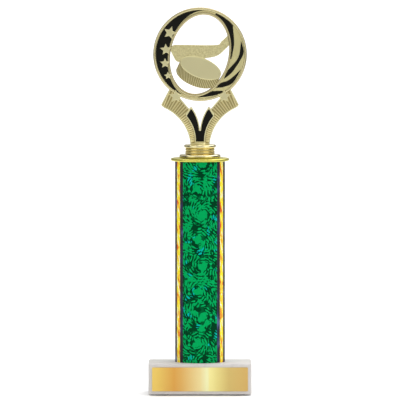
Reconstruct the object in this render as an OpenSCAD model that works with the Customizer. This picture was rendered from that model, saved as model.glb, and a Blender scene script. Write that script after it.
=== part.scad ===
// Column trophy: a figure with a stick blade and puck in a round frame, on a
// film-wrapped paperboard column, on a marble base. Millimetres, +Z up, front -Y.
// A threaded rod runs from the nut under the base to the nut inside the pedestal
// and clamps base, column, lid and figure together.

/* [Marble base] */
// Width of the base, left to right
base_w = 91.6; // [86:0.2:110]
// Depth of the base, front to back
base_d = 57; // [54:1:75]
// Height of the marble block
base_h = 27.6; // [22:1:40]
// Size of the eased edge all round the block
base_edge = 1.8; // [0.5:0.1:3]
// Thickness of the foam feet
foot_t = 0.8; // [0.5:0.1:3]
// Diameter of a foam foot
foot_d = 12; // [8:1:16]

/* [Engraving plate] */
// Width of the plate
plate_w = 85; // [60:0.2:86]
// Height of the plate
plate_h = 21.2; // [12:0.2:21.6]
// Thickness of the plate
plate_t = 0.5; // [0.4:0.1:1.5]
// Thickness of the adhesive tape behind it
tape_t = 0.2; // [0.1:0.05:0.5]

/* [Column] */
// Outside diameter of the wrapped column
column_d = 44.45; // [40:0.05:52]
// Length of the column
column_l = 178.8; // [100:0.2:300]
// Wall of the paperboard tube
tube_wall = 1.8; // [1.2:0.1:3]
// Thickness of the printed film
film_t = 0.3; // [0.2:0.05:0.5]
// Gap between the film's two edges at the back
film_seam = 0.4; // [0.2:0.1:1]

/* [Lid] */
// Diameter of the lid's flange
lid_d = 52; // [48:0.5:60]
// Thickness of the flange
lid_t = 2.8; // [2.5:0.1:5]
// Depth of the skirt inside the tube
skirt_h = 8; // [5:1:15]

/* [Rod and nuts] */
// Diameter of the threaded rod
rod_d = 6.35; // [5:0.05:8]
// Width of a nut across its flats
nut_af = 11.1; // [9:0.1:13]
// Height of a nut
nut_h = 5.5; // [4:0.1:6]

/* [Pedestal] */
// Radius of the lower disc
disc_low_r = 18.4; // [17:0.1:20]
// Radius of the upper disc
disc_top_r = 14.4; // [13:0.1:15]
// Height of the pedestal
pedestal_h = 12; // [11:0.5:14]

/* [Round frame] */
// Outer radius of the frame
ring_r = 41.6; // [40:0.1:44]
// Height of the frame's centre above the pedestal
ring_rise = 80; // [79:0.5:84]
// Width of the outer rim
rim_w = 2.45; // [1.5:0.05:3]
// Thickness of the rims, front to back
rim_t = 4.4; // [3:0.2:6]
// Thickness of the web between the rims
web_t = 3; // [2:0.2:4]
// Long half-axis of the oval opening
oval_a = 35.6; // [33:0.1:36]
// Short half-axis of the oval opening
oval_b = 25.65; // [24:0.05:27]
// Lean of the oval opening to the right, in degrees
oval_lean = 13.2; // [5:0.1:20]

/* [Hidden] */

gold = [0.82, 0.74, 0.48];
lemon_gold = [0.86, 0.78, 0.25];
enamel_black = [0.12, 0.12, 0.1];
zinc = [0.72, 0.73, 0.75];

// Levels, from the table up
base_top = foot_t + base_h;
column_top = base_top + column_l;
pedestal_z = column_top + lid_t;
figure_z = pedestal_z + pedestal_h;
ring_z = figure_z + ring_rise;

// Rod holes and the counterbore under the base
rod_hole_d = 8;
sink_d = 28.6;
sink_h = 9.5;
washer_d = 19;
washer_t = 1.6;
tube_r = column_d / 2 - film_t;
tube_in_r = tube_r - tube_wall;
nut_floor = foot_t + sink_h - washer_t - nut_h;
figure_nut_z = pedestal_z + 0.6;
rod_bottom = nut_floor - 1.5;
rod_top = figure_nut_z + nut_h + 0.2;

// The inner rim is wider at the oval's two ends, where it runs up to the outer rim
oval_shift = -0.4;
oval_rim_side = 2.1;
oval_rim_end = 2.6;
enamel_t = 0.35;
star_t = 0.8;
relief_y = web_t / 2;

// ---- Curves ----

// Points on an arc about c, from angle a to angle b
function arc(c, r, a, b, steps = 16) =
    [for (i = [0:steps]) let (t = a + (b - a) * i / steps) c + r * [cos(t), sin(t)]];

// One point of a smooth curve between b and c, with a and d as its neighbours
function blend(a, b, c, d, t) =
    0.5 * (2 * b + (c - a) * t + (2 * a - 5 * b + 4 * c - d) * t * t
        + (3 * b - a - 3 * c + d) * t * t * t);

// A smooth open curve through the points p
function curve(p, steps = 6) = concat(
    [for (i = [0:len(p) - 2], k = [0:steps - 1])
        blend(p[max(i - 1, 0)], p[i], p[i + 1], p[min(i + 2, len(p) - 1)], k / steps)],
    [p[len(p) - 1]]);

function ellipse_points(a, b, steps = 72) =
    [for (i = [0:steps - 1]) [a * cos(360 * i / steps), b * sin(360 * i / steps)]];

function rounded_points(w, h, r, steps = 4) = concat(
    arc([w / 2 - r, h / 2 - r], r, 0, 90, steps),
    arc([r - w / 2, h / 2 - r], r, 90, 180, steps),
    arc([r - w / 2, r - h / 2], r, 180, 270, steps),
    arc([w / 2 - r, r - h / 2], r, 270, 360, steps));

// Five-pointed star with one point at the angle turn
module star(r, turn = 90)
    polygon([for (i = [0:9]) (i % 2 == 0 ? r : 0.45 * r) * [cos(turn + 36 * i), sin(turn + 36 * i)]]);

// A flat outline stood upright, centred on the plane y = 0
module upright(t) rotate([90, 0, 0]) translate([0, 0, -t / 2]) linear_extrude(t) children();

// The same outline on the front and the back, from depth y0 to depth y1
module both_faces(y0, y1) for (side = [0, 1]) rotate([90, 0, 0])
    translate([0, 0, side == 0 ? y0 : -y1]) linear_extrude(y1 - y0) children();

// ---- Base, feet and plate ----

module base_block() intersection() {
    linear_extrude(base_h) polygon(rounded_points(base_w, base_d, base_edge));
    translate([0, base_d / 2, base_h / 2]) rotate([90, 0, 0])
        linear_extrude(base_d) polygon(rounded_points(base_w, base_h, base_edge));
    translate([-base_w / 2, 0, base_h / 2]) rotate([90, 0, 90])
        linear_extrude(base_w) polygon(rounded_points(base_d, base_h, base_edge));
}

module marble_base() color([0.82, 0.8, 0.79]) translate([0, 0, foot_t]) difference() {
    base_block();
    translate([0, 0, -1]) cylinder(h = base_h + 2, d = rod_hole_d, $fn = 48);
    translate([0, 0, -1]) cylinder(h = sink_h + 1, d = sink_d, $fn = 64);
}

module foam_feet() color([0.2, 0.2, 0.2]) for (x = [-1, 1], y = [-1, 1])
    translate([x * (base_w / 2 - foot_d), y * (base_d / 2 - foot_d * 0.85), 0])
        cylinder(h = foot_t, d = foot_d, $fn = 48);

module plate_sheet(y, t, margin, r) translate([0, y, foot_t + base_h / 2]) rotate([90, 0, 0])
    linear_extrude(t) polygon(rounded_points(plate_w - margin, plate_h - margin, r));

module name_plate() color([0.9, 0.77, 0.45]) plate_sheet(-base_d / 2 - tape_t, plate_t, 0, 0.8);

module plate_tape() color([0.93, 0.93, 0.9]) plate_sheet(-base_d / 2, tape_t, 3, 0.5);

// ---- Column and lid ----

module column_tube() color([0.7, 0.6, 0.45]) translate([0, 0, base_top]) difference() {
    cylinder(h = column_l, r = tube_r, $fn = 96);
    translate([0, 0, -1]) cylinder(h = column_l + 2, r = tube_in_r, $fn = 96);
}

// The film is one printed sheet, butted at the back
module column_wrap() color([0.02, 0.42, 0.24]) translate([0, 0, base_top]) difference() {
    cylinder(h = column_l, d = column_d, $fn = 96);
    translate([0, 0, -1]) cylinder(h = column_l + 2, r = tube_r, $fn = 96);
    translate([-film_seam / 2, 0, -1]) cube([film_seam, column_d, column_l + 2]);
}

module lid_section() polygon(concat(
    [[rod_d / 2 + 0.2, 0], [tube_in_r - 3, 0], [tube_in_r - 3, -skirt_h],
        [tube_in_r - 1, -skirt_h], [tube_in_r - 0.1, 1 - skirt_h], [tube_in_r - 0.1, 0]],
    arc([lid_d / 2 - lid_t / 2, lid_t / 2], lid_t / 2, -90, 80, 10),
    [[disc_low_r + 1, lid_t], [rod_d / 2 + 0.2, lid_t]]));

module column_lid() color(lemon_gold) translate([0, 0, column_top])
    rotate_extrude($fn = 96) lid_section();

// ---- Rod, washer and nuts ----

module tie_rod() color(zinc) translate([0, 0, rod_bottom])
    cylinder(h = rod_top - rod_bottom, d = rod_d, $fn = 48);

module hex_nut() difference() {
    cylinder(h = nut_h, d = nut_af / cos(30), $fn = 6);
    translate([0, 0, -1]) cylinder(h = nut_h + 2, d = rod_d, $fn = 48);
}

module bottom_nut() color(zinc) translate([0, 0, nut_floor]) hex_nut();

module figure_nut() color(zinc) translate([0, 0, figure_nut_z]) hex_nut();

module bottom_washer() color(zinc) translate([0, 0, foot_t + sink_h - washer_t]) difference() {
    cylinder(h = washer_t, d = washer_d, $fn = 64);
    translate([0, 0, -1]) cylinder(h = washer_t + 2, d = rod_d + 0.6, $fn = 48);
}

// ---- Pedestal ----

// Lower disc, waist with two bands, and upper disc, as one turned shape
groove_r = 12.4;
band_r = 13.1;
low_rim_r = 1.5;
top_rim_r = 1.55;
tenon_w = 12;
tenon_d = 3.4;
tenon_h = 3.4;

module pedestal_section() polygon(concat(
    [[0, 0]],
    arc([disc_low_r - low_rim_r, low_rim_r], low_rim_r, -90, 75, 10),
    [[groove_r, 3.4], [groove_r, 3.6]],
    arc([band_r - 0.4, 4], 0.4, -90, 0, 3), arc([band_r - 0.4, 5.6], 0.4, 0, 90, 3),
    [[groove_r, 6], [groove_r, 6.2]],
    arc([band_r - 0.5, 6.6], 0.4, -90, 0, 3), arc([band_r - 0.5, 8.2], 0.4, 0, 90, 3),
    [[groove_r, 8.6], [groove_r, 8.8]],
    arc([disc_top_r - top_rim_r, pedestal_h - 0.3 - top_rim_r], top_rim_r, -80, 75, 10),
    [[8, pedestal_h], [0, pedestal_h]]));

module pedestal() color(gold) translate([0, 0, pedestal_z]) difference() {
    rotate_extrude($fn = 96) pedestal_section();
    // Hollow under the lower disc, and the pocket that holds the nut
    translate([0, 0, -1]) difference() {
        cylinder(h = 3.6, r = 15.5, $fn = 64);
        translate([0, 0, -1]) cylinder(h = 6, r = 8.5, $fn = 64);
    }
    translate([0, 0, -1]) cylinder(h = figure_nut_z - pedestal_z + nut_h + 1.5,
        d = nut_af / cos(30), $fn = 6);
    translate([-tenon_w / 2, -tenon_d / 2, pedestal_h - tenon_h]) cube([tenon_w, tenon_d, tenon_h + 1]);
}

// ---- Yoke ----

// All edges of an arm are arcs: the outer edge, and the two edges of its leaf.
// Heights are above the top of the pedestal.
outer_c = [-47.5, -3.4];
outer_r = 39.1;
leaf_in_c = [-39.5, 9.7];
leaf_in_r = 39.6;
leaf_out_c = [-37.05, 3.3];
leaf_out_r = 33.4;
arm_rim = 1;
arm_floor_t = 2.4;
leaf_tip = [-8, 33.6];
leaf_corner = [-12.8, 27.4];
notch_z = 12.8;
// How far each half runs past the middle, so that the two halves join
half_lap = 0.4;
// Height of the leaf's lower end
leaf_foot = 2.43;

// Left arm, up to where the round frame cuts it
module arm_outline() polygon(concat(
    arc(outer_c, outer_r, 5, 66),
    [[-33.9, 34], [-34.5, 35.2], [-27.9, 47.7], [-24, 53], [-14, 49], [-17.8, 41], [-9.6, 31.4], leaf_tip],
    arc(leaf_in_c, leaf_in_r, 36, 4.9),
    [[half_lap, notch_z], [half_lap, 0]]));

// Black leaf of the left arm, inside its gold edge
module leaf_outline() polygon(concat(
    [[half_lap, leaf_foot]],
    arc(leaf_out_c, leaf_out_r, -1.5, 41),
    [[-8, 31.5]],
    arc(leaf_in_c, leaf_in_r - 0.9, 31, 3.5),
    [[half_lap, notch_z - 0.9]]));

// The gold strip between the leaf and the ribbed band
module leaf_border() polygon(concat(
    [[-4.6, 0]],
    arc(leaf_out_c, leaf_out_r - 0.9, -3, 40),
    [leaf_corner, leaf_tip],
    arc(leaf_in_c, leaf_in_r, 36, 4.9),
    [[half_lap, notch_z], [half_lap, 0]]));

module round_cut(grow = 0) translate([0, ring_rise]) circle(r = ring_r + grow, $fn = 128);

// Ribbed band of the arm, inside its rims
module band_outline() difference() {
    offset(delta = -arm_rim) arm_outline();
    leaf_border();
    round_cut();
}

// Ribs fan out from the centre of the outer edge, closer together towards the
// foot, and stop short of the leaf's gold edge
rib_count = 24;
rib_w = 1.1;
rib_gap = 0.4;
module ribs() intersection() {
    difference() {
        band_outline();
        offset(delta = rib_gap) leaf_border();
    }
    for (i = [0:rib_count - 1]) translate(outer_c)
        rotate(8 + 60 * pow(i / (rib_count - 1), 1.15))
        translate([outer_r, -rib_w / 2]) square([30, rib_w]);
}

star_at = [-21.6, 42.6];
star_r = 6.2;

module mirrored() for (side = [0, 1]) mirror([side, 0, 0]) children();

// One arm: a plate with pockets in both faces for the leaf and the ribbed band
module arm() {
    difference() {
        upright(rim_t) arm_outline();
        both_faces(arm_floor_t / 2, rim_t) band_outline();
        both_faces(arm_floor_t / 2, rim_t) leaf_outline();
    }
    upright(arm_floor_t + 1) ribs();
    upright(rim_t) intersection() {
        translate(star_at) star(star_r);
        arm_outline();
    }
}

module yoke() color(gold) translate([0, 0, figure_z]) difference() {
    union() {
        mirrored() arm();
        // Foot, with its shallow window, and the tenon in the pedestal
        translate([-4.8, -2.7, 0]) cube([9.6, 5.4, 2.2]);
        translate([-tenon_w / 2, -tenon_d / 2, -tenon_h + 0.1]) cube([tenon_w, tenon_d, tenon_h]);
    }
    translate([0, 5, ring_rise]) rotate([90, 0, 0]) cylinder(h = 10, r = ring_r, $fn = 128);
    both_faces(2.2, 4) translate([-2.8, 0.5]) square([5.6, 1.2]);
}

module yoke_enamel() color(enamel_black) translate([0, 0, figure_z]) mirrored()
    both_faces(arm_floor_t / 2, arm_floor_t / 2 + enamel_t) leaf_outline();

// Four stars, front and back, that cover the joints between the frame and the arms
module joint_stars() color(gold) translate([0, 0, figure_z])
    mirrored() both_faces(rim_t / 2, rim_t / 2 + 1) translate(star_at) star(star_r);

// ---- Round frame ----

module oval(grow_end = 0, grow_side = 0) translate([oval_shift, 0]) rotate(90 - oval_lean)
    polygon(ellipse_points(oval_a + grow_end, oval_b + grow_side));

module web_outline() difference() {
    circle(r = ring_r - rim_w, $fn = 128);
    oval(oval_rim_end, oval_rim_side);
}

// Stars on the crescent: centre, radius and turn
FRAME_STARS = [
    [[-26.6, 19.1], 6.2, 73],
    [[-30.3, 4.2], 5.4, 93],
    [[-31, -8], 4.7, 91],
    [[-28.4, -19], 3.6, 96]
];

module star_field() for (s = FRAME_STARS) translate(s[0]) star(s[1], s[2]);

module at_frame() translate([0, 0, ring_z]) children();

module round_frame() color(gold) at_frame() {
    upright(web_t) difference() {
        circle(r = ring_r - rim_w / 2, $fn = 128);
        oval(1, 1);
    }
    upright(rim_t) difference() {
        circle(r = ring_r, $fn = 128);
        circle(r = ring_r - rim_w, $fn = 128);
    }
    upright(rim_t) difference() {
        oval(oval_rim_end, oval_rim_side);
        oval();
    }
}

module frame_stars() color(gold) at_frame()
    both_faces(relief_y, relief_y + star_t) intersection() {
        star_field();
        web_outline();
    }

// The enamel field left of the oval tapers to a point at both ends
module crescent_enamel() color(enamel_black) at_frame()
    both_faces(relief_y, relief_y + enamel_t) difference() {
        circle(r = ring_r - rim_w, $fn = 128);
        oval(4, oval_rim_side);
        rotate(-oval_lean) translate([0, -50]) square([50, 100]);
        star_field();
    }

// Four curved blades of enamel right of the oval, each between two edges
SWOOSHES = [
    concat(arc([0, 0], 39, 69, 40.5, 8),
        curve([[29.2, 24.7], [30.3, 12], [29.7, 4.7], [27.8, -4.4]]), [[20, 0], [12, 28]]),
    concat(curve([[36.4, 12], [38.8, 2], [34.7, -7.1], [28.3, -16.1], [21.1, -22.1]]),
        curve([[21.1, -22.1], [24.6, -14.4], [31.9, -6.2], [35.1, 1], [36.4, 12]])),
    concat(curve([[36.3, -13.5], [30.1, -19.3], [24.6, -23.4], [18.3, -25.7], [14.2, -29.8]]),
        curve([[14.2, -29.8], [22, -28.8], [29.7, -24.8], [36.3, -13.5]])),
    concat(curve([[11, -32.7], [20.6, -32.8], [12.9, -36.6], [-2.1, -38.4]]),
        curve([[-2.1, -38.4], [6.5, -34.8], [11, -32.7]]))
];

module swoosh_enamel() color(enamel_black) at_frame()
    both_faces(relief_y, relief_y + enamel_t) for (outline = SWOOSHES) intersection() {
        web_outline();
        polygon(outline);
    }

// ---- Stick blade and puck ----

blade_t = 3.4;
puck_t = 3.6;
puck_face_t = 4.2;
puck_at = [0.6, -12.2];
puck_a = 19.1;
puck_b = 9;
puck_tip = 20.5;
puck_depth = [-3.6, -7.5];

// The blade runs past the opening at its neck, and the frame's inner wall trims it
module blade_outline() polygon(concat(
    curve([[-27, 4.9], [-24.4, 7.6], [-19, 8.4], [13.6, 8.2], [19, 11.4], [28, 20]]),
    curve([[29, 11.6], [21.5, 3.6], [14.7, -1.6], [4.7, -3.5]]),
    [[0, -8]],
    curve([[-17, -7], [-19.6, -6.7], [-21.8, -5.4], [-23.6, -1.8], [-27, 4.9]])));

module puck_face() translate(puck_at) rotate(-puck_tip) polygon(ellipse_points(puck_a, puck_b, 48));

module puck_outline() hull() {
    puck_face();
    translate(puck_depth) puck_face();
}

module stick_blade() color(gold) at_frame() upright(blade_t) difference() {
    intersection() {
        blade_outline();
        oval();
    }
    puck_outline();
}

module puck() color([0.74, 0.7, 0.5]) at_frame() {
    upright(puck_t) intersection() {
        puck_outline();
        oval();
    }
    upright(puck_face_t) intersection() {
        puck_face();
        oval();
    }
}

marble_base();
foam_feet();
name_plate();
plate_tape();
column_tube();
column_wrap();
column_lid();
tie_rod();
bottom_washer();
bottom_nut();
figure_nut();
pedestal();
yoke();
yoke_enamel();
joint_stars();
round_frame();
frame_stars();
crescent_enamel();
swoosh_enamel();
stick_blade();
puck();
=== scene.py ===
import math

import bmesh
import bpy
from mathutils import Matrix, Vector


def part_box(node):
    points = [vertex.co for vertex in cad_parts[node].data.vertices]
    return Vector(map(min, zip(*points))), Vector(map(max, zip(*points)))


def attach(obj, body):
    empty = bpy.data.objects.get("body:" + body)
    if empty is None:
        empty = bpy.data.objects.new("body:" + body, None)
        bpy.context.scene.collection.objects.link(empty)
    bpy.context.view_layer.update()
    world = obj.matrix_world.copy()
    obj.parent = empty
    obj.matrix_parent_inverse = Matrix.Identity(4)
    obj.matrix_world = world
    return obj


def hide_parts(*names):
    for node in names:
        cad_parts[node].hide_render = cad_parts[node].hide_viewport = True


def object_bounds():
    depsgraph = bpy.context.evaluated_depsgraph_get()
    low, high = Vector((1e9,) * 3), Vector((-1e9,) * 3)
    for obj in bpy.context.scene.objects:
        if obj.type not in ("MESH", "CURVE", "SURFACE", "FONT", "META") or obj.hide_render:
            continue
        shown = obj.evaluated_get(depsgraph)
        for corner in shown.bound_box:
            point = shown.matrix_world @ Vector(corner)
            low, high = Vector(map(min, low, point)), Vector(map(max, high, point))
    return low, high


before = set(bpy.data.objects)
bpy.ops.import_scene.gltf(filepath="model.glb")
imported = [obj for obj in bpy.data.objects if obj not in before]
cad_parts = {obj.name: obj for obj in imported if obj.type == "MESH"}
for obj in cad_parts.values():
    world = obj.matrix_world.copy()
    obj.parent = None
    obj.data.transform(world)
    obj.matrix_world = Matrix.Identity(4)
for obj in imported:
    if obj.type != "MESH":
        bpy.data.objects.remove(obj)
cad_low, cad_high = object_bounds()

# ---- Camera, floor and light ----
# The trophy stands on a plain pale floor and is seen from the front through a long lens,
# a little from above. The light is a soft studio dome, brighter overhead and darker to
# the two sides, so that the polished gold has something to reflect.

VIEW_RISE = math.radians(3.5)
VIEW_DISTANCE = 9.0
VIEW_WIDTH = 0.3556
AIM = Vector((0.0, 0.0, 0.5014 * cad_high.z))

lens = bpy.data.cameras.new("camera")
lens.sensor_width = 36.0
lens.lens = lens.sensor_width * VIEW_DISTANCE / VIEW_WIDTH
lens.clip_end = 60.0
camera = bpy.data.objects.new("camera", lens)
back, up = math.cos(VIEW_RISE), math.sin(VIEW_RISE)
camera.location = AIM + VIEW_DISTANCE * Vector((0.0, -back, up))
camera.rotation_euler = (math.pi / 2 - VIEW_RISE, 0.0, 0.0)
bpy.context.scene.collection.objects.link(camera)
bpy.context.scene.camera = camera
bpy.context.scene.view_settings.view_transform = "Standard"
bpy.context.scene.view_settings.exposure = -0.42


class Wire:
    """A shader socket that Python's operators can work on."""

    def __init__(self, finish, socket):
        self.finish, self.socket = finish, socket

    def math(self, operation, *terms):
        return self.finish.add("ShaderNodeMath", {"operation": operation}, [self, *terms])

    def __add__(self, other):
        return self.math("ADD", other)

    def __sub__(self, other):
        return self.math("SUBTRACT", other)

    def __rsub__(self, other):
        return self.finish.add("ShaderNodeMath", {"operation": "SUBTRACT"}, [other, self])

    def __mul__(self, other):
        return self.math("MULTIPLY", other)

    def __truediv__(self, other):
        return self.math("DIVIDE", other)

    def __mod__(self, other):
        return self.math("MODULO", other)

    def __gt__(self, other):
        return self.math("GREATER_THAN", other)

    def __lt__(self, other):
        return self.math("LESS_THAN", other)

    __radd__, __rmul__ = __add__, __mul__

    def between(self, low, high):
        """0 below low, 1 above high, and a smooth rise between."""
        return self.finish.add(
            "ShaderNodeMapRange",
            {"interpolation_type": "SMOOTHSTEP"},
            {"Value": self, "From Min": low, "From Max": high},
        )


class Finish:
    """A material with one Principled shader, whose fixed values are set on its own sockets."""

    def __init__(self, name, **fixed):
        self.material = bpy.data.materials.new(name)
        self.material.use_nodes = True
        self.tree = self.material.node_tree
        self.shader = self.tree.nodes["Principled BSDF"]
        for key, value in fixed.items():
            self.shader.inputs[key.replace("_", " ")].default_value = value

    def add(self, kind, settings=None, values=(), output=0):
        """Adds a node: its settings first, then its sockets' values or links."""
        node = self.tree.nodes.new(kind)
        for key, value in (settings or {}).items():
            if key == "stops":
                ramp = node.color_ramp
                while len(ramp.elements) < len(value):
                    ramp.elements.new(1.0)
                for element, (place, colour) in zip(ramp.elements, value):
                    element.position, element.color = place, (*colour, 1.0)
            else:
                setattr(node, key, value)
        pairs = values.items() if isinstance(values, dict) else enumerate(values)
        for key, value in pairs:
            if isinstance(value, Wire):
                self.tree.links.new(value.socket, node.inputs[key])
            else:
                node.inputs[key].default_value = value
        return Wire(self, node.outputs[output])

    def place(self):
        """The piece's own coordinates."""
        return self.add("ShaderNodeTexCoord", output="Object")

    def split(self, vector):
        """A vector's three parts."""
        return [self.add("ShaderNodeSeparateXYZ", None, [vector], axis) for axis in range(3)]

    def join(self, x, y, z):
        return self.add("ShaderNodeCombineXYZ", None, [x, y, z])

    def noise(self, vector, scale, detail=2.0, roughness=0.5):
        return self.add(
            "ShaderNodeTexNoise",
            None,
            {"Vector": vector, "Scale": scale, "Detail": detail, "Roughness": roughness},
        )

    def ramp(self, value, stops):
        """Colours along a value: (value, colour) at each stop."""
        return self.add("ShaderNodeValToRGB", {"stops": stops}, [value])

    def mix(self, factor, first, second):
        """One colour over another."""
        return self.add(
            "ShaderNodeMix",
            {"data_type": "RGBA"},
            {0: factor, 6: first, 7: second},
            output=2,
        )

    def bump(self, height, strength, distance):
        return self.add(
            "ShaderNodeBump",
            None,
            {"Height": height, "Strength": strength, "Distance": distance},
        )

    def feed(self, **inputs):
        """Links what varies over the surface."""
        for key, value in inputs.items():
            self.tree.links.new(value.socket, self.shader.inputs[key.replace("_", " ")])


def sheen(red, green, blue):
    """A colour given as it is seen on a screen, from 0 to 255, for a shader."""
    seen = [value / 255 for value in (red, green, blue)]
    return tuple(v / 12.92 if v <= 0.04045 else ((v + 0.055) / 1.055) ** 2.4 for v in seen)


def shade(red, green, blue):
    """The same colour with the alpha that a colour socket holds."""
    return (*sheen(red, green, blue), 1.0)


# The paper is white round the trophy and turns grey to the sides and towards the viewer,
# which gives the rims of the figure darker edges to reflect.
NEAR_PAPER = (0.95, 0.95, 0.95, 1.0)
FAR_PAPER = (0.33, 0.33, 0.33, 1.0)
floor_finish = Finish("floor_paper", Roughness=0.9)
floor_finish.shader.inputs["Specular IOR Level"].default_value = 0.0
out_x, out_y, _ = floor_finish.split(floor_finish.place())
to_side = out_x.math("ABSOLUTE").between(0.35, 1.3)
to_front = (out_y * -1.0).between(0.3, 1.3)
floor_finish.feed(
    Base_Color=floor_finish.mix(to_side.math("MAXIMUM", to_front), NEAR_PAPER, FAR_PAPER)
)
bm = bmesh.new()
bmesh.ops.create_grid(bm, x_segments=1, y_segments=1, size=30.0)
floor_mesh = bpy.data.meshes.new("floor")
bm.to_mesh(floor_mesh)
bm.free()
floor_mesh.materials.append(floor_finish.material)
floor = bpy.data.objects.new("floor", floor_mesh)
bpy.context.scene.collection.objects.link(floor)

# Light comes from the viewer's side, from two upright screens at the front corners, from
# overhead, and from a bright cove low down at the back with a panel above it.
dome = bpy.data.worlds.new("studio")
bpy.context.scene.world = dome
dome.use_nodes = True
sky = Finish.__new__(Finish)
sky.tree = dome.node_tree
toward_x, toward_y, toward_z = sky.split(sky.add("ShaderNodeTexCoord", output="Generated"))
round_from_front = toward_x.math("ABSOLUTE").math("ARCTAN2", toward_y * -1.0)
screens = round_from_front.between(math.radians(20), math.radians(40)) * (
    1.0 - round_from_front.between(math.radians(62), math.radians(88))
)
facing = 1.0 - round_from_front.between(math.radians(60), math.radians(95))
overhead = toward_z.between(0.5, 0.8)
cove = (1.0 - toward_z.between(0.10, 0.22)) * toward_y.between(0.75, 0.9)
behind = toward_y.between(0.2, 0.6) * toward_z.between(0.15, 0.35)
FILL = 0.05
glow = (
    FILL
    + 0.60 * facing
    + 1.05 * screens * (1.0 - overhead)
    + 0.5 * overhead
    + 1.0 * cove
    + 0.75 * behind
)
dome_light = dome.node_tree.nodes["Background"]
dome.node_tree.links.new(glow.socket, dome_light.inputs["Strength"])
dome_light.inputs["Color"].default_value = (1.0, 1.0, 1.0, 1.0)

key = bpy.data.lights.new("key_light", "SUN")
key.energy = 3.4
key.angle = math.radians(80)
key_light = bpy.data.objects.new("key_light", key)
KEY_WAY = Vector((-0.25, -0.3, -1.0))
key_light.rotation_euler = KEY_WAY.to_track_quat("-Z", "Y").to_euler()
bpy.context.scene.collection.objects.link(key_light)

# ---- Marble base ----
# A block of polished white marble with its edges eased all round, drilled through for the
# rod and sunk from below for the nut and washer. It stands on its foam feet.

MM = 0.001


def copy_of(node):
    """The node's own mesh, welded, with each flat area joined into one face."""
    shape = bmesh.new()
    shape.from_mesh(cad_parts[node].data)
    bmesh.ops.remove_doubles(shape, verts=shape.verts, dist=0.002 * MM)
    bmesh.ops.dissolve_limit(
        shape, angle_limit=math.radians(0.5), verts=shape.verts, edges=shape.edges
    )
    return shape


def make_piece(shape, name, finish, crease=32.0):
    """Turns a bmesh into a piece, smooth except along edges sharper than crease."""
    mesh = bpy.data.meshes.new(name)
    shape.to_mesh(mesh)
    shape.free()
    mesh.materials.append(finish.material)
    mesh.shade_smooth()
    mesh.set_sharp_from_angle(angle=math.radians(crease))
    piece = bpy.data.objects.new(name, mesh)
    bpy.context.scene.collection.objects.link(piece)
    return piece


def dress(nodes, finish):
    """Gives CAD nodes that stay as they are their finish."""
    for node in nodes:
        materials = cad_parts[node].data.materials
        materials.clear()
        materials.append(finish.material)


def soften_edges(piece, width, segments=3, angle=28.0):
    """Rounds a piece's edges and keeps its flat faces flat in shading."""
    bevel = piece.modifiers.new("soft_edges", "BEVEL")
    bevel.width, bevel.segments = width, segments
    bevel.limit_method, bevel.angle_limit = "ANGLE", math.radians(angle)
    even = piece.modifiers.new("even_shading", "WEIGHTED_NORMAL")
    even.keep_sharp = True


marble = Finish("polished_marble", Roughness=0.45)
marble.shader.inputs["Specular IOR Level"].default_value = 0.25
at = marble.place()
clouds = marble.noise(at, 22.0, 4.0, 0.55)
drift = marble.noise(at, 40.0, 3.0)
bent = marble.add(
    "ShaderNodeVectorMath",
    {"operation": "ADD"},
    [at, marble.join(drift * 0.03, drift * 0.02, 0.0)],
)
VEIN_DEPTH = 0.18
vein = 1.0 - (marble.noise(bent, 26.0, 3.0) - 0.5).math("ABSOLUTE").between(0.004, 0.03)
stone = marble.mix(clouds.between(0.3, 0.7), shade(202, 198, 194), shade(210, 206, 203))
marble.feed(Base_Color=marble.mix(vein * VEIN_DEPTH, stone, shade(176, 171, 168)))

marble_base = make_piece(copy_of("marble_base"), "marble_block", marble)
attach(marble_base, "root")
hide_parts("marble_base")

# ---- Foam feet ----
# Four round pads of closed-cell foam, die-cut with soft edges and stuck under the corners
# of the block.

foam = Finish("black_foam", Roughness=0.95)
foam.shader.inputs["Specular IOR Level"].default_value = 0.15
cells = foam.noise(foam.place(), 2600.0, 2.0)
foam.feed(
    Base_Color=foam.ramp(cells, [(0.3, sheen(30, 30, 30)), (0.7, sheen(62, 61, 60))]),
    Normal=foam.bump(cells, 0.5, 0.2 * MM),
)

feet_low, feet_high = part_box("foam_feet")
FOOT_R = 6.0 * MM
foot_t = feet_high.z - feet_low.z
bm = bmesh.new()
for side in (-1, 1):
    for end in (-1, 1):
        place = Vector((
            side * (feet_high.x - FOOT_R),
            end * (feet_high.y - FOOT_R),
            foot_t / 2,
        ))
        bmesh.ops.create_cone(
            bm, cap_ends=True, segments=40, radius1=FOOT_R, radius2=FOOT_R,
            depth=foot_t, matrix=Matrix.Translation(place),
        )
rims = [e for e in bm.edges if abs(e.verts[0].co.z - e.verts[1].co.z) < 1e-6]
bmesh.ops.bevel(
    bm, geom=rims, offset=0.25 * MM, segments=2, profile=0.5, affect="EDGES", material=-1
)
foam_pads = make_piece(bm, "foam_pads", foam)
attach(foam_pads, "root")
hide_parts("foam_feet")

# ---- Engraving plate and its tape ----
# A blank plate of bright gold sheet with its corners clipped round and its edges broken,
# stuck to the front of the block with thin tape.

plate_low, plate_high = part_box("name_plate")
plate_mid = (plate_low + plate_high) / 2
plate_size = plate_high - plate_low

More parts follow.
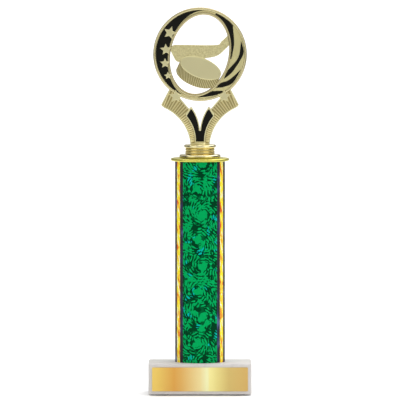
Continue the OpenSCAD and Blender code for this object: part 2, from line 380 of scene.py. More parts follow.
plate_gold = Finish("bright_gold_sheet", Metallic=0.35)
px, py, pz = plate_gold.split(plate_gold.place())
along = (px - plate_low.x) / plate_size.x
# Across the plate the gold runs orange at the left, near white a little right of the middle and
# darker at the right: a painted reflection.
SHEET_REFLECTION_STOPS = [
    (0.0, sheen(236, 202, 100)),
    (0.06, sheen(231, 196, 95)),
    (0.23, sheen(219, 160, 70)),
    (0.30, sheen(222, 172, 88)),
    (0.50, sheen(236, 216, 150)),
    (0.575, sheen(242, 240, 186)),
    (0.60, sheen(246, 235, 155)),
    (0.68, sheen(232, 216, 134)),
    (0.80, sheen(212, 184, 107)),
    (1.0, sheen(211, 172, 97)),
]
grain = plate_gold.noise(plate_gold.join(px * 30.0, py, pz * 3000.0), 1.0, 3.0)
plate_gold.feed(
    Base_Color=plate_gold.ramp(along, SHEET_REFLECTION_STOPS),
    Roughness=0.3 + 0.08 * grain,
    Normal=plate_gold.bump(grain, 0.05, 0.05 * MM),
)

bm = bmesh.new()
bmesh.ops.create_cube(bm, size=1.0)
bmesh.ops.scale(bm, vec=plate_size, verts=bm.verts)
bmesh.ops.translate(bm, vec=plate_mid, verts=bm.verts)
corners = [e for e in bm.edges if abs(e.verts[0].co.y - e.verts[1].co.y) > 1e-6]
bmesh.ops.bevel(
    bm, geom=corners, offset=0.8 * MM, segments=5, profile=0.5, affect="EDGES", material=-1
)
front_rim = [e for e in bm.edges if all(v.co.y < plate_mid.y for v in e.verts)]
bmesh.ops.bevel(
    bm, geom=front_rim, offset=0.15 * MM, segments=2, profile=0.5, affect="EDGES", material=-1
)
plate = make_piece(bm, "engraving_plate", plate_gold, crease=20.0)
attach(plate, "root")
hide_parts("name_plate")

tape = Finish("adhesive_tape", Roughness=0.6)
tape.feed(Base_Color=tape.ramp(
    tape.noise(tape.place(), 900.0), [(0.3, sheen(226, 224, 214)), (0.7, sheen(240, 239, 232))]
))
dress(["plate_tape"], tape)

# ---- Column tube ----
# A spiral-wound paperboard tube, cut square at both ends. The film covers its outside.

board = Finish("wound_paperboard", Roughness=0.85)
bx, by, bz = board.split(board.place())
PLY_RISE = 38 * MM
turn = bx.math("ARCTAN2", by) / (2 * math.pi)
lap = ((bz / PLY_RISE + turn + 4.0) % 1.0).between(0.0, 0.03)
fibre = board.noise(board.place(), 700.0, 4.0)
board.feed(
    Base_Color=board.mix(
        lap,
        shade(120, 96, 66),
        board.ramp(fibre, [(0.3, sheen(172, 146, 110)), (0.7, sheen(196, 172, 136))]),
    ),
    Normal=board.bump(fibre, 0.3, 0.1 * MM),
)
dress(["column_tube"], board)

# ---- Column film ----
# One sheet of glossy printed film wrapped round the tube and butted at the back. It has
# three green panels of swirling shards, each edged by a gold strip between dark lines.

film_low, film_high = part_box("column_wrap")
film_r = film_high.x
FILM_T = 0.3 * MM
SEAM = 0.4 * MM

film = Finish("printed_film", Roughness=0.3)
film.shader.inputs["Specular IOR Level"].default_value = 0.02
fx, fy, fz = film.split(film.place())

# Each third of the way round has a green panel, a dark line from GREEN_HALF out and half
# a gold strip from GOLD_FROM out. Along and up the panel, the pattern is in millimetres.
SECTOR = 2 * math.pi / 3
GREEN_HALF = math.radians(42.9)
GOLD_FROM = math.radians(53.0)
turned = fx.math("ARCTAN2", fy * -1.0)
within = (turned + 3.5 * SECTOR) % SECTOR - SECTOR / 2
across = within * (film_r / MM)
height = fz / MM
sheet = (turned / SECTOR).math("ROUND") * 40.0
panel = film.join(across, height, sheet)

# Rows of whorls climb each panel, and step a little left and right by turns. A bow-tie
# mark lies TIE_OUT beside each whorl, which has a plain eye.
ROW = 22.8
FIRST_WHORL = 183.3
STEP = 2.5
TIE_OUT = 7.5
TIE_R = 3.6
EYE_R = 3.9
LEAN = 1.25
TWIST = 0.045
SWAY = 0.4


def from_whorl(x, z, out=0.0):
    """Where a point lies from the nearest whorl, or from a spot beside it."""
    row = ((z - FIRST_WHORL) / ROW).math("ROUND")
    side = (row.math("ABSOLUTE") % 2.0) * 2.0 - 1.0
    return x - side * (STEP + out), z - (row * ROW + FIRST_WHORL)


def shards(seed, size, width, length):
    """Scattered leaf shapes that lie along the swirl, with the random colour of each."""
    cell = film.add(
        "ShaderNodeTexVoronoi",
        {"voronoi_dimensions": "2D"},
        {"Vector": film.join(across / size + seed, height / size + sheet, 0.0), "Scale": 1.0},
        output="Position",
    )
    spot_x, spot_z, _ = film.split(cell)
    spot_x = (spot_x - seed) * size
    spot_z = (spot_z - sheet) * size
    out_x, out_z = from_whorl(spot_x, spot_z)
    spot_r = (out_x * out_x + out_z * out_z).math("SQRT")
    chance, sway, _ = film.split(Wire(film, cell.socket.node.outputs["Color"]))
    lie = out_z.math("ARCTAN2", out_x) + LEAN + spot_r * TWIST + sway * SWAY
    along_x, along_z = lie.math("COSINE"), lie.math("SINE")
    off_x, off_z = across - spot_x, height - spot_z
    u = (off_x * along_x + off_z * along_z) / length
    v = (off_z * along_x - off_x * along_z) / width + chance
    ridge = 2.0 * ((v + 40.0) % 1.0 - 0.5).math("ABSOLUTE")
    leaf = ridge > (0.42 + 0.58 * u * u)
    return leaf, chance, spot_x, spot_z, spot_r


# Tone runs from 0, darkest, to 1. The ground is dark with lighter clumps, and the layers
# of shards lie over it: (seed, cell size, width, length, share left out, tone).
_, _, ground_x, ground_z, ground_r = shards(3.7, 2.6, 2.0, 2.6)
clump = film.noise(film.join(ground_x, ground_z, sheet), 0.13, 1.0)
eye = ground_r < EYE_R
lit = (clump > 0.56) * (ground_r > 6.0)
tone = 0.27 * (clump > 0.50) * (1.0 - lit) + 0.66 * lit
tone = tone.math("MAXIMUM", 0.66 * eye)
teal = 0.0 * across
LAYERS = [
    (0.0, 5.2, 2.8, 3.4, 0.34, 0.68),
    (11.3, 4.4, 2.5, 3.2, 0.50, 0.0),
    (23.9, 4.2, 2.4, 2.8, 0.52, 0.8),
]
for seed, size, width, length, rare, level in LAYERS:
    light = round(level)
    leaf, chance, spot_x, spot_z, spot_r = shards(seed, size, width, length)
    on_dark = (1.0 - 0.6 * lit * light).math("ROUND")
    shown = leaf * (chance > rare) * (1.0 - eye) * on_dark
    tone = tone * (1.0 - shown) + shown * level
    patch = film.noise(film.join(spot_x + 11.0, spot_z, sheet), 0.09, 1.0)
    fleck = shown * light * (patch > 0.585) * (chance > 0.6)
    teal = (teal * (1.0 - shown)).math("MAXIMUM", fleck)
tie_x, tie_z = from_whorl(across, height, TIE_OUT)
tie_r = (tie_x * tie_x + tie_z * tie_z).math("SQRT")
tie_lobe = (tie_x.math("ABSOLUTE") / (tie_z.math("ABSOLUTE") + 0.01)) < 0.75
in_tie = tie_r < TIE_R
tone = tone * (1.0 - in_tie) + in_tie * (0.1 + 0.7 * tie_lobe * (tie_r < 3.0))
blend = film.noise(panel, 0.3, 2.0)
GREEN_STOPS = [
    (0.0, sheen(0, 62, 32)),
    (0.2, sheen(0, 74, 38)),
    (0.3, sheen(1, 96, 50)),
    (0.55, sheen(2, 142, 75)),
    (0.66, sheen(2, 166, 88)),
    (1.0, sheen(3, 182, 98)),
]
green = film.ramp(tone + (blend - 0.5) * 0.12, GREEN_STOPS)
green = film.mix(teal, green, shade(4, 182, 168))

# The gold strips are mottled from orange through yellow to near white, on a slant.
STRIP_STOPS = [
    (0.34, sheen(222, 84, 36)),
    (0.40, sheen(240, 134, 48)),
    (0.44, sheen(252, 190, 70)),
    (0.47, sheen(255, 222, 84)),
    (0.51, sheen(255, 244, 10)),
    (0.56, sheen(255, 236, 50)),
    (0.60, sheen(255, 252, 214)),
    (0.64, sheen(255, 248, 210)),
    (0.68, sheen(250, 208, 84)),
]
strip_x = ((turned + 3.0 * SECTOR) % SECTOR - SECTOR / 2) * (film_r / MM)
slant = film.join(
    strip_x * 0.30, height * 0.12 + strip_x * 0.20, (turned / SECTOR).math("FLOOR") * 7.0
)
strip = film.ramp(film.noise(slant, 1.0, 3.5, 0.62), STRIP_STOPS)
# The dark lines are printed near black, and the blue tint that drifts up the column is a painted
# sheen.
LINE_SHEEN_STOPS = [
    (0.35, sheen(48, 44, 54)),
    (0.50, sheen(50, 50, 60)),
    (0.60, sheen(52, 54, 86)),
    (0.70, sheen(88, 100, 140)),
]
line = film.ramp(film.noise(film.join(0.0, height * 0.05, turned * 2.0), 1.0, 2.0), LINE_SHEEN_STOPS)
off_centre = within.math("ABSOLUTE")
BACK_TRIM = math.radians(8.0)
SOFT = math.radians(0.35)
green_half = GREEN_HALF - BACK_TRIM * (turned.math("ABSOLUTE") > SECTOR / 2)
surface = film.mix(off_centre.between(green_half - SOFT, green_half + SOFT), green, line)
surface = film.mix(off_centre.between(GOLD_FROM - SOFT, GOLD_FROM + SOFT), surface, strip)
film.feed(Base_Color=surface)

bm = bmesh.new()
wall = bmesh.ops.create_grid(bm, x_segments=1, y_segments=1, size=0.5)["verts"]
bmesh.ops.scale(bm, vec=(FILM_T, film_high.z - film_low.z, 1.0), verts=wall)
bmesh.ops.rotate(bm, matrix=Matrix.Rotation(math.pi / 2, 3, "X"), verts=wall)
bmesh.ops.translate(
    bm, vec=(film_r - FILM_T / 2, 0.0, (film_low.z + film_high.z) / 2), verts=wall
)
seam_turn = SEAM / film_r
bmesh.ops.rotate(bm, matrix=Matrix.Rotation(math.pi / 2 + seam_turn / 2, 3, "Z"), verts=wall)
bmesh.ops.spin(
    bm, geom=bm.verts[:] + bm.edges[:] + bm.faces[:], cent=(0, 0, 0), axis=(0, 0, 1),
    angle=2 * math.pi - seam_turn, steps=180,
)
bmesh.ops.recalc_face_normals(bm, faces=bm.faces)
column_film = make_piece(bm, "column_film", film)
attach(column_film, "root")
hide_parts("column_wrap")

# ---- Lid ----
# A round cap of metallised plastic with a bullnose flange. Its skirt plugs into the tube
# and the rod passes through its middle.

lid_low, lid_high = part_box("column_lid")
column_top = film_high.z
lid_r = lid_high.x
SKIRT_WALL = 3.0 * MM
ROD_HOLE_R = 3.4 * MM
skirt_r = film_r - FILM_T - 1.9 * MM


def turned_shape(outline, steps=160):
    """Spins an outline about the vertical axis. Each corner is (radius, height, rounding)."""
    shape = bmesh.new()
    corner_points = [shape.verts.new((radius, 0.0, z)) for radius, z, _ in outline]
    shape.faces.new(corner_points)
    for point, (_, _, rounding) in zip(corner_points, outline):
        if rounding:
            bmesh.ops.bevel(
                shape, geom=[point], offset=rounding, segments=8, profile=0.5,
                affect="VERTICES", material=-1,
            )
    bmesh.ops.delete(shape, geom=shape.faces[:], context="FACES_ONLY")
    on_axis = [e for e in shape.edges if all(abs(v.co.x) < 1e-7 for v in e.verts)]
    bmesh.ops.delete(shape, geom=on_axis, context="EDGES")
    bmesh.ops.spin(
        shape, geom=shape.verts[:] + shape.edges[:], cent=(0, 0, 0), axis=(0, 0, 1),
        angle=2 * math.pi, steps=steps, use_merge=True,
    )
    bmesh.ops.remove_doubles(shape, verts=shape.verts, dist=0.001 * MM)
    bmesh.ops.recalc_face_normals(shape, faces=shape.faces)
    return shape


lid_gold = Finish("lemon_gold_plating", Metallic=1.0)
lid_wear = lid_gold.noise(lid_gold.place(), 160.0, 3.0)
lid_gold.feed(
    Base_Color=lid_gold.ramp(
        lid_wear, [(0.3, sheen(194, 186, 80)), (0.7, sheen(212, 204, 102))]
    ),
    Roughness=0.26 + 0.1 * lid_wear,
)
flange_t = lid_high.z - column_top
lid = make_piece(
    turned_shape([
        (ROD_HOLE_R, column_top, 0.0),
        (skirt_r - SKIRT_WALL, column_top, 0.0),
        (skirt_r - SKIRT_WALL, lid_low.z, 0.3 * MM),
        (skirt_r, lid_low.z, 0.6 * MM),
        (skirt_r, column_top, 0.0),
        (lid_r, column_top, 0.45 * flange_t),
        (lid_r, column_top + 0.88 * flange_t, 0.45 * flange_t),
        (0.86 * lid_r, lid_high.z, 1.5 * MM),
        (ROD_HOLE_R, lid_high.z, 0.0),
    ]),
    "column_cap",
    lid_gold,
)
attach(lid, "root")
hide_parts("column_lid")

# ---- Rod, nuts and washer ----
# Zinc-plated steel: a threaded rod through the whole trophy, a plain nut on a washer in
# the sinking under the base, and a nut held in the pedestal.

zinc = Finish("zinc_plate", Metallic=1.0, Roughness=0.32)
zinc_grain = zinc.noise(zinc.place(), 900.0, 3.0)
zinc.feed(
    Base_Color=zinc.ramp(
        zinc_grain, [(0.3, sheen(196, 198, 204)), (0.7, sheen(222, 224, 228))]
    ),
    Roughness=0.26 + 0.16 * zinc_grain,
)
dress(["tie_rod", "bottom_washer"], zinc)
for node in ("bottom_nut", "figure_nut"):
    nut = make_piece(copy_of(node), node + "_chamfered", zinc)
    soften_edges(nut, 0.35 * MM, segments=1, angle=50.0)
    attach(nut, "root")
    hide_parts(node)

# ---- Pedestal ----
# The figure's turned foot, moulded in plastic and metallised: a lower disc, a waist with
# two ribs and an upper disc, all with rounded rims. Its polish is brighter than the rest.

foot_low, foot_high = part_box("pedestal")
disc_r = foot_high.x
rise = foot_low.z
RIM_ROUND = 1.4 * MM
GROOVE_R = 12.4 * MM
LOW_BAND_R = 13.1 * MM
HIGH_BAND_R = 13.0 * MM
BAND_ROUND = 0.5 * MM
TOP_DISC_R = 14.4 * MM

polished = Finish("polished_gold_plating", Metallic=1.0, Roughness=0.1)
smear = polished.noise(polished.place(), 140.0, 3.0)
ux, uy, _ = polished.split(polished.place())
out_r = (ux * ux + uy * uy).math("SQRT")
# Within 13.2 mm of the axis, the waist and its grooves are painted a deeper gold: a painted
# reflection of the gold around them.
polished.feed(
    Base_Color=polished.mix(
        out_r.between(13.2 * MM, 13.5 * MM),
        shade(230, 209, 132),
        polished.ramp(smear, [(0.3, sheen(224, 213, 164)), (0.7, sheen(236, 226, 180))]),
    ),
    Roughness=0.1 + 0.06 * smear,
)
pedestal = make_piece(
    turned_shape([
        (0.0, rise, 0.0),
        (disc_r, rise, RIM_ROUND),
        (disc_r, rise + 3.0 * MM, RIM_ROUND),
        (GROOVE_R, rise + 3.3 * MM, 0.0),
        (GROOVE_R, rise + 3.5 * MM, 0.0),
        (LOW_BAND_R, rise + 3.5 * MM, BAND_ROUND),
        (LOW_BAND_R, rise + 6.0 * MM, BAND_ROUND),
        (GROOVE_R, rise + 6.0 * MM, 0.0),
        (GROOVE_R, rise + 6.2 * MM, 0.0),
        (HIGH_BAND_R, rise + 6.2 * MM, BAND_ROUND),
        (HIGH_BAND_R, rise + 8.5 * MM, BAND_ROUND),
        (GROOVE_R, rise + 8.5 * MM, 0.0),
        (GROOVE_R, rise + 8.7 * MM, 0.0),
        (TOP_DISC_R, rise + 8.8 * MM, RIM_ROUND),
        (TOP_DISC_R, rise + 11.7 * MM, RIM_ROUND),
        (9.0 * MM, foot_high.z, 1.0 * MM),
        (0.0, foot_high.z, 0.0),
    ]),
    "turned_pedestal",
    polished,
    crease=50.0,
)
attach(pedestal, "root")
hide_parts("pedestal")

# ---- Yoke ----
# The V-shaped riser, moulded with raised rims and a fan of ribs along each arm. Its tenon
# sits in the pedestal, and black enamel fills the two leaves.

# Heights from the middle plane: the pocket's floor, darker as painted shade, the ribs, a painted
# shadow line under the rim, and the rim itself with a little wear on its top.
RELIEF_WITH_PAINTED_SHADE = [
    (1.25 * MM, sheen(190, 173, 116)),
    (1.62 * MM, sheen(250, 240, 182)),
    (1.85 * MM, sheen(212, 194, 132)),
    (2.1 * MM, sheen(255, 247, 192)),
    (2.35 * MM, sheen(255, 247, 192)),
    (2.5 * MM, sheen(246, 235, 176)),
]


def satin_gold(name, shade_levels):
    """Satin plating whose colour is set by the height from the middle plane, the lower parts
    darker as painted shade: (height from the middle, colour).
    """
    finish = Finish(name, Metallic=1.0)
    depth = finish.split(finish.place())[1].math("ABSOLUTE")
    grain = finish.noise(finish.place(), 2200.0, 2.0)
    patina = finish.noise(finish.place(), 90.0, 3.0)
    reach = shade_levels[-1][0] * 1.01
    finish.feed(
        Base_Color=finish.ramp(
            depth / reach + (patina - 0.5) * 0.02, [(at / reach, tint) for at, tint in shade_levels]
        ),
        Roughness=0.3 + 0.1 * patina,
        Normal=finish.bump(grain, 0.06, 0.05 * MM),
    )
    return finish


relief_gold = satin_gold("satin_relief_plating_painted_shade", RELIEF_WITH_PAINTED_SHADE)
# Raised faces are painted a little lighter than lower ones: painted shade by height.
satin = satin_gold(
    "satin_gold_plating",
    [(0.5 * MM, sheen(234, 226, 174)), (3.0 * MM, sheen(243, 235, 184))],
)
enamel = Finish("black_enamel", Roughness=0.3)
enamel.shader.inputs["Specular IOR Level"].default_value = 0.15
orange_peel = enamel.noise(enamel.place(), 500.0, 2.0)
enamel.feed(
    Base_Color=enamel.ramp(orange_peel, [(0.3, sheen(14, 14, 9)), (0.7, sheen(22, 22, 16))]),
    Normal=enamel.bump(orange_peel, 0.04, 0.05 * MM),
)

# The narrow ribs limit the bevel, which only breaks the corners. What it folds is merged.
bm = copy_of("yoke")
corners = [e for e in bm.edges if e.calc_face_angle(0.0) > math.radians(28)]
bmesh.ops.bevel(
    bm, geom=corners, offset=0.3 * MM, segments=2, profile=0.5, affect="EDGES",
    clamp_overlap=True, material=-1,
)
bmesh.ops.remove_doubles(bm, verts=bm.verts, dist=0.001 * MM)
bmesh.ops.dissolve_degenerate(bm, edges=bm.edges, dist=0.001 * MM)
yoke = make_piece(bm, "ribbed_yoke", relief_gold)
yoke.modifiers.new("even_shading", "WEIGHTED_NORMAL").keep_sharp = True
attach(yoke, "root")
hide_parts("yoke")
dress(["yoke_enamel", "crescent_enamel", "swoosh_enamel"], enamel)

# ---- Round frame ----
# A moulded ring with a leaning oval opening: a rounded outer rim, a rounded inner rim and
# a thinner web between them, combed with fine curved lines on the gold sweeps.

ring_low, ring_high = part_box("round_frame")
ring_z = (ring_low.z + ring_high.z) / 2
ring_r = ring_high.x
rim_t = ring_high.y - ring_low.y
RIM_W = 2.45 * MM
WEB_T = 3.0 * MM
OVAL_A = 35.6 * MM
OVAL_B = 25.65 * MM
OVAL_LEAN = math.radians(13.2)
OVAL_SHIFT = -0.4 * MM
INNER_RIM_W = 2.1 * MM
COMB_X = 4.0 * MM
COMB_Z = 10.0 * MM
COMB_PITCH = 1.1 * MM


def rounded_ring(shape, inner, outer, thickness, rounding):
    """Spins a rounded section about the Y axis, and gives back the new points."""
    before = set(shape.verts)
    bmesh.ops.create_grid(shape, x_segments=1, y_segments=1, size=0.5)
    section = [v for v in shape.verts if v not in before]
    bmesh.ops.scale(shape, vec=(outer - inner, thickness, 1.0), verts=section)
    bmesh.ops.translate(shape, vec=((inner + outer) / 2, 0.0, 0.0), verts=section)
    bmesh.ops.bevel(
        shape, geom=section, offset=rounding, segments=5, profile=0.5,
        affect="VERTICES", material=-1,
    )
    section = [v for v in shape.verts if v not in before]
    faces = list({f for v in section for f in v.link_faces})
    edges = list({e for v in section for e in v.link_edges})
    bmesh.ops.delete(shape, geom=faces, context="FACES_ONLY")
    bmesh.ops.spin(
        shape, geom=section + edges, cent=(0, 0, 0), axis=(0, 1, 0),
        angle=2 * math.pi, steps=180, use_merge=True,
    )
    return [v for v in shape.verts if v not in before]


def lean_oval(shape, points):
    """Stretches points on a circle of radius OVAL_B to the leaning oval."""
    bmesh.ops.scale(shape, vec=(1.0, 1.0, OVAL_A / OVAL_B), verts=points)
    bmesh.ops.rotate(shape, matrix=Matrix.Rotation(OVAL_LEAN, 3, "Y"), verts=points)
    bmesh.ops.translate(shape, vec=(OVAL_SHIFT, 0.0, 0.0), verts=points)


rim_gold = Finish("bright_rim_plating", Metallic=1.0)
rim_wear = rim_gold.noise(rim_gold.place(), 120.0, 3.0)
rim_depth_for_painted_shade = rim_gold.split(rim_gold.place())[1].math("ABSOLUTE")
# Where the rims turn away towards the web and the outline, they are painted dark brown: painted
# shade.
rim_gold.feed(
    Base_Color=rim_gold.mix(
        rim_depth_for_painted_shade.between(1.6 * MM, 2.4 * MM),
        shade(140, 119, 70),
        rim_gold.ramp(rim_wear, [(0.3, sheen(240, 231, 178)), (0.7, sheen(246, 238, 190))]),
    ),
    Roughness=0.2 + 0.06 * rim_wear,
)
combed = Finish("combed_gold_plating", Metallic=1.0)
cx, _, cz = combed.split(combed.place())
comb_x, comb_z = cx - COMB_X, cz - (ring_z + COMB_Z)
comb_r = (comb_x * comb_x + comb_z * comb_z).math("SQRT")
wander = combed.noise(combed.place(), 60.0, 2.0)
lines = (comb_r / COMB_PITCH * (2 * math.pi) + wander * 5.0).math("SINE")
patina = combed.noise(combed.place(), 90.0, 3.0)
combed.feed(
    Base_Color=combed.mix(
        lines.between(-0.2, 0.9) * 0.4, shade(240, 231, 172), shade(208, 193, 128)
    ),
    Roughness=0.32 + 0.08 * patina,
    Normal=combed.bump(lines, 0.25, 0.12 * MM),
)

bm = bmesh.new()
bmesh.ops.create_circle(bm, segments=180, radius=ring_r - RIM_W / 2)
inner_loop = bmesh.ops.create_circle(bm, segments=180, radius=OVAL_B + INNER_RIM_W / 2)["verts"]
bmesh.ops.rotate(bm, matrix=Matrix.Rotation(math.pi / 2, 3, "X"), verts=bm.verts)
lean_oval(bm, inner_loop)
bmesh.ops.bridge_loops(bm, edges=bm.edges[:])
bmesh.ops.solidify(bm, geom=bm.faces[:], thickness=WEB_T)
middle = sum((v.co.y for v in bm.verts)) / len(bm.verts)
bmesh.ops.translate(bm, vec=(0.0, -middle, ring_z), verts=bm.verts)
bmesh.ops.recalc_face_normals(bm, faces=bm.faces)
web = make_piece(bm, "frame_web", combed)
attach(web, "root")

bm = bmesh.new()
rounded_ring(bm, ring_r - RIM_W, ring_r, rim_t, 1.15 * MM)
oval_points = rounded_ring(bm, OVAL_B, OVAL_B + INNER_RIM_W, rim_t - 0.2 * MM, 1.0 * MM)
lean_oval(bm, oval_points)
bmesh.ops.translate(bm, vec=(0.0, 0.0, ring_z), verts=bm.verts)
bmesh.ops.recalc_face_normals(bm, faces=bm.faces)
rims = make_piece(bm, "frame_rims", rim_gold)
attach(rims, "root")
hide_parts("round_frame")

# ---- Stars ----
# Raised five-pointed stars with faceted faces: four down the left of the frame on both
# sides, and one over each joint between the frame and the yoke, front and back.


def add_star(shape, x, z, radius, turn, depth, thickness, slope):
    """One star with sloping sides on the plane y = -depth, and its twin behind."""
    before = set(shape.verts)
    made = bmesh.ops.create_circle(shape, cap_ends=True, segments=10, radius=radius)["verts"]
    dents = sorted(made, key=lambda v: math.atan2(v.co.y, v.co.x))[1::2]
    bmesh.ops.scale(shape, vec=(0.45, 0.45, 1.0), verts=dents)
    point = next(v for v in made if v not in dents)
    first = math.atan2(point.co.y, point.co.x)
    bmesh.ops.rotate(
        shape, matrix=Matrix.Rotation(math.radians(turn) - first, 3, "Z"), verts=made
    )
    face = made[0].link_faces[0]
    bmesh.ops.solidify(shape, geom=[face], thickness=thickness)
    top = max(
        {f for v in shape.verts if v not in before for f in v.link_faces},
        key=lambda f: f.calc_center_median().z,
    )
    bmesh.ops.inset_region(shape, faces=[top], thickness=slope, depth=0.0)
    bmesh.ops.translate(shape, vec=(0.0, 0.0, 0.5 * slope), verts=top.verts)
    points = [v for v in shape.verts if v not in before]
    bottom = min(v.co.z for v in points)
    bmesh.ops.translate(shape, vec=(0.0, 0.0, -bottom), verts=points)
    bmesh.ops.rotate(shape, matrix=Matrix.Rotation(math.pi / 2, 3, "X"), verts=points)
    bmesh.ops.translate(shape, vec=(x, -depth, z), verts=points)
    twin = bmesh.ops.duplicate(
        shape, geom=points + list({f for v in points for f in v.link_faces})
    )["geom"]
    twin_points = [g for g in twin if isinstance(g, bmesh.types.BMVert)]
    bmesh.ops.scale(shape, vec=(1.0, -1.0, 1.0), verts=twin_points)


# (x, height from the ring's middle, radius, turn in degrees)
FRAME_STARS = [
    (-26.6, 19.1, 6.2, 73),
    (-30.3, 4.2, 5.4, 93),
    (-31.0, -8.0, 4.7, 91),
    (-28.4, -19.0, 3.6, 96),
]
bm = bmesh.new()
for x, z, radius, turn in FRAME_STARS:
    add_star(bm, x * MM, ring_z + z * MM, radius * MM, turn, WEB_T / 2, 0.5 * MM, 0.3 * MM)
bmesh.ops.recalc_face_normals(bm, faces=bm.faces)
stars = make_piece(bm, "crescent_stars", satin, crease=5.0)
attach(stars, "root")
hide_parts("frame_stars")

JOINT_X = 21.6 * MM
JOINT_DROP = 37.4 * MM
JOINT_STAR_R = 6.2 * MM
bm = bmesh.new()
for way in (-1, 1):
    add_star(
        bm, way * JOINT_X, ring_z - JOINT_DROP, JOINT_STAR_R, 90, rim_t / 2, 0.3 * MM, 0.35 * MM
    )
bmesh.ops.recalc_face_normals(bm, faces=bm.faces)
bosses = make_piece(bm, "joint_bosses", satin, crease=5.0)
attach(bosses, "root")
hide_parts("joint_stars")

# ---- Stick blade ----
# The blade of a stick lying across the oval, moulded with a stippled face and a softly
# rounded edge.

stipple = Finish("stippled_gold_plating", Metallic=1.0)
pits = stipple.noise(stipple.place(), 1100.0, 2.0, 0.6)
mottle = stipple.noise(stipple.place(), 620.0, 3.0, 0.6)
stipple.feed(
    Base_Color=stipple.ramp(
        mottle, [(0.32, sheen(214, 203, 144)), (0.68, sheen(248, 239, 186))]
    ),
    Roughness=0.36 + 0.12 * mottle,
    Normal=stipple.bump(pits, 0.35, 0.12 * MM),
)
blade = make_piece(copy_of("stick_blade"), "stippled_blade", stipple)
soften_edges(blade, 0.45 * MM, segments=3)
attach(blade, "root")
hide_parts("stick_blade")

# ---- Puck ----
# A puck in relief, seen at a slant: a smooth face inside a fine raised border, above a
# knurled side.

PUCK_X = 0.6 * MM
PUCK_Z = -12.2 * MM
PUCK_A = 19.1 * MM
PUCK_B = 9.0 * MM
PUCK_TIP = math.radians(20.5)
PUCK_SIDE = Vector((-3.6 * MM, 0.0, -7.5 * MM))
PUCK_T = 3.3 * MM
puck_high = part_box("puck")[1]
BORDER = 0.55 * MM

# The ridges of the side fan out from a point above the puck, one every RIDGE_PITCH radians.
# RIDGE_SPAN is the first and last angle from straight down.
RIDGE_FAN = Vector((-14.0 * MM, 0.0, ring_z + 20.0 * MM))
RIDGE_PITCH = 0.036
RIDGE_SPAN = (-0.36, 0.76)
RIDGE_RISE = 0.25 * MM

knurled = Finish("knurled_gold_plating", Metallic=1.0)
_, ky, _ = knurled.split(knurled.place())
side_t = PUCK_T / 2
knurled_grain = knurled.noise(knurled.place(), 400.0)
# Below the ridge tops the side is a darker gold: painted shade between the ridges.
knurled.feed(
    Base_Color=knurled.mix(
        ky.math("ABSOLUTE").between(side_t, side_t + RIDGE_RISE),
        shade(170, 156, 106),
        knurled.ramp(knurled_grain, [(0.3, sheen(222, 213, 160)), (0.7, sheen(230, 221, 168))]),
    ),
    Roughness=0.34 + 0.06 * knurled_grain,
    Normal=knurled.bump(knurled_grain, 0.05, 0.05 * MM),
)
bm = bmesh.new()
bmesh.ops.create_circle(bm, segments=120, radius=PUCK_B)
bmesh.ops.rotate(bm, matrix=Matrix.Rotation(math.pi / 2, 3, "X"), verts=bm.verts)
bmesh.ops.scale(bm, vec=(PUCK_A / PUCK_B, 1.0, 1.0), verts=bm.verts)
bmesh.ops.rotate(bm, matrix=Matrix.Rotation(PUCK_TIP, 3, "Y"), verts=bm.verts)
bmesh.ops.translate(bm, vec=(PUCK_X, -PUCK_T / 2, ring_z + PUCK_Z), verts=bm.verts)
for move in (PUCK_SIDE, Vector((0.0, PUCK_T, 0.0))):
    twin = bmesh.ops.duplicate(bm, geom=bm.verts[:])["geom"]
    bmesh.ops.translate(bm, vec=move, verts=[g for g in twin if isinstance(g, bmesh.types.BMVert)])
hull = bmesh.ops.convex_hull(bm, input=bm.verts[:])
inner = [g for g in hull["geom_interior"] if isinstance(g, bmesh.types.BMVert)]
bmesh.ops.delete(bm, geom=inner, context="VERTS")
loose = [e for e in bm.edges if not e.link_faces]
bmesh.ops.delete(bm, geom=loose, context="EDGES")
bmesh.ops.dissolve_limit(bm, angle_limit=math.radians(1), verts=bm.verts, edges=bm.edges)
bmesh.ops.recalc_face_normals(bm, faces=bm.faces)
outline = [e for e in bm.edges if e.calc_face_angle() > math.radians(28)]
bmesh.ops.bevel(
    bm, geom=outline, offset=0.4 * MM, segments=3, profile=0.5, affect="EDGES", material=-1
)
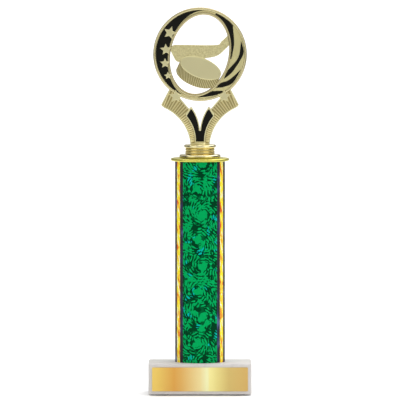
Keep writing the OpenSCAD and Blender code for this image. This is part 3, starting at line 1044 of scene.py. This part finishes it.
first_cut, last_cut = (round(end / (RIDGE_PITCH / 2)) for end in RIDGE_SPAN)
for cut in range(first_cut, last_cut):
    way = cut * RIDGE_PITCH / 2
    bmesh.ops.bisect_plane(
        bm, geom=bm.verts[:] + bm.edges[:] + bm.faces[:], dist=0.001 * MM,
        plane_co=RIDGE_FAN, plane_no=(math.cos(way), 0.0, math.sin(way)),
    )
ridges = []
for face in bm.faces:
    off = face.calc_center_median() - RIDGE_FAN
    strip_number = math.floor(math.atan2(off.x, -off.z) / (RIDGE_PITCH / 2))
    if abs(face.normal.y) > 0.99 and strip_number % 2 == 0:
        ridges.append(face)
bmesh.ops.inset_individual(bm, faces=ridges, thickness=0.1 * MM, depth=RIDGE_RISE)
puck_side = make_piece(bm, "puck_side", knurled)
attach(puck_side, "root")

bm = bmesh.new()
bmesh.ops.create_circle(bm, cap_ends=True, segments=120, radius=PUCK_B)
bmesh.ops.rotate(bm, matrix=Matrix.Rotation(math.pi / 2, 3, "X"), verts=bm.verts)
bmesh.ops.scale(bm, vec=(PUCK_A / PUCK_B, 1.0, 1.0), verts=bm.verts)
bmesh.ops.rotate(bm, matrix=Matrix.Rotation(PUCK_TIP, 3, "Y"), verts=bm.verts)
bmesh.ops.translate(bm, vec=(PUCK_X, 0.0, ring_z + PUCK_Z), verts=bm.verts)
face_t = 2 * puck_high.y
bmesh.ops.solidify(bm, geom=bm.faces[:], thickness=face_t)
middle = sum((v.co.y for v in bm.verts)) / len(bm.verts)
bmesh.ops.translate(bm, vec=(0.0, -middle, 0.0), verts=bm.verts)
bmesh.ops.recalc_face_normals(bm, faces=bm.faces)
for face in sorted(bm.faces, key=lambda f: -f.calc_area())[:2]:
    bmesh.ops.inset_region(bm, faces=[face], thickness=BORDER, depth=0.0)
    bmesh.ops.inset_region(bm, faces=[face], thickness=0.12 * MM, depth=-0.08 * MM)
puck_face = make_piece(bm, "puck_face", satin)
soften_edges(puck_face, 0.15 * MM, segments=2, angle=40.0)
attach(puck_face, "root")
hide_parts("puck")
